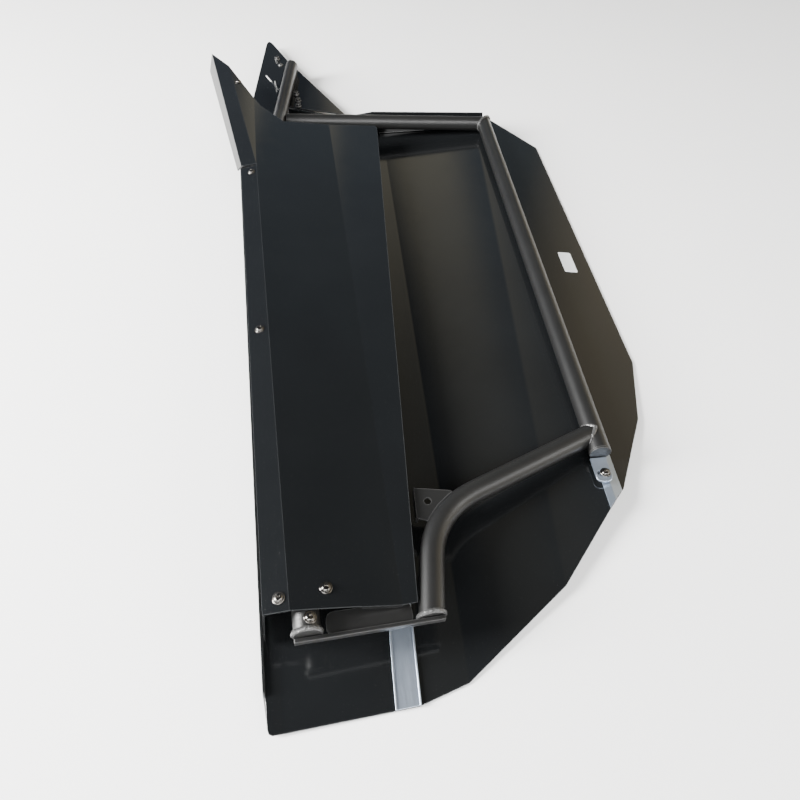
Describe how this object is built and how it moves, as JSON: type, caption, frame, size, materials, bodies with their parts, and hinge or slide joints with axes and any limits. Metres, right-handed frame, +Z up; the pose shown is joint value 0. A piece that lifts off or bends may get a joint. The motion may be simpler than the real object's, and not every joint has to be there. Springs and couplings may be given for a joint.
{
  "type": "off-road vehicle door",
  "caption": "Low folded-sheet side door for an off-road vehicle, with a welded tube frame, a folded inner panel and a rear ear that carries a sprung latch.",
  "frame": {"origin": "middle of the overall footprint, at floor level, with the door lying on its outer skin", "axes": "+X across the door from the belt edge to the sill, +Y along the door towards the rear ear, +Z up from the outer skin to the cabin side"},
  "size_m": [0.611, 1.4808, 0.1029],
  "materials": {
    "skin_gloss": "satin black powder coat on sheet",
    "tube_powder": "fine textured black powder coat",
    "weld": "black powder coat over weld beads",
    "strip": "bare mill finish",
    "stainless": "bright machined",
    "latch_zinc": "zinc plated",
    "bolt_black": "black oxide",
    "label": "blank matte film"
  },
  "bodies": {
    "door": {"outer_skin": "skin_gloss", "inner_panel": "skin_gloss", "ear_plate": "skin_gloss", "front_strip": "strip", "sill_strip": "strip", "blank_label": "label", "sill_tube": "tube_powder", "rear_tube": "tube_powder", "cross_tube": "tube_powder", "belt_tube": "tube_powder", "ear_tube_cap": "tube_powder", "sill_tube_cap": "tube_powder", "belt_tube_cap": "tube_powder", "cross_tube_cap": "tube_powder", "front_bar": "tube_powder", "front_gusset": "tube_powder", "corner_bracket": "tube_powder", "sill_tab": "strip", "ear_bracket": "tube_powder", "latch_plate": "latch_zinc", "rotor_pivot": "stainless", "screw_fin": "stainless", "screw_flange_rear": "stainless", "screw_flange_mid": "stainless", "screw_flange_front": "stainless", "screw_panel_front": "stainless", "screw_sill_tab": "stainless", "screw_belt_tube": "stainless", "ear_bolt_1": "bolt_black", "ear_bolt_2": "bolt_black", "ear_bolt_3": "bolt_black", "ear_tip_bolt": "bolt_black", "screw_ear_tip": "bolt_black", "weld_rear_corner": "weld", "weld_cross_sill": "weld", "weld_cross_front": "weld", "weld_belt_front": "weld"},
    "release": {"release_slide": "latch_zinc"},
    "lever": {"trip_lever": "latch_zinc"},
    "rotor": {"latch_rotor": "latch_zinc"}
  },
  "joints": [
    {"name": "release_travel", "type": "slide", "parent": "door", "child": "release", "axis": [0.3035, -0.9528, 0], "range_m": [0, 0.012], "stiffness_N_per_m": 250, "springref_m": -0.004},
    {"name": "lever_swing", "type": "hinge", "parent": "door", "child": "lever", "pos_m": [-0.1403, 0.45975, 0.0105], "axis": [0, 0, 1], "range_deg": [0, 8]},
    {"name": "rotor_turn", "type": "hinge", "parent": "door", "child": "rotor", "pos_m": [-0.1115, 0.46155, 0.0105], "axis": [0, 0, 1], "range_deg": [-50, 0], "stiffness_Nm_per_rad": 0.1}
  ],
  "couplings": [
    {"joint": "lever_swing", "follows": "release_travel", "rad_per_m": 11.2}
  ]
}
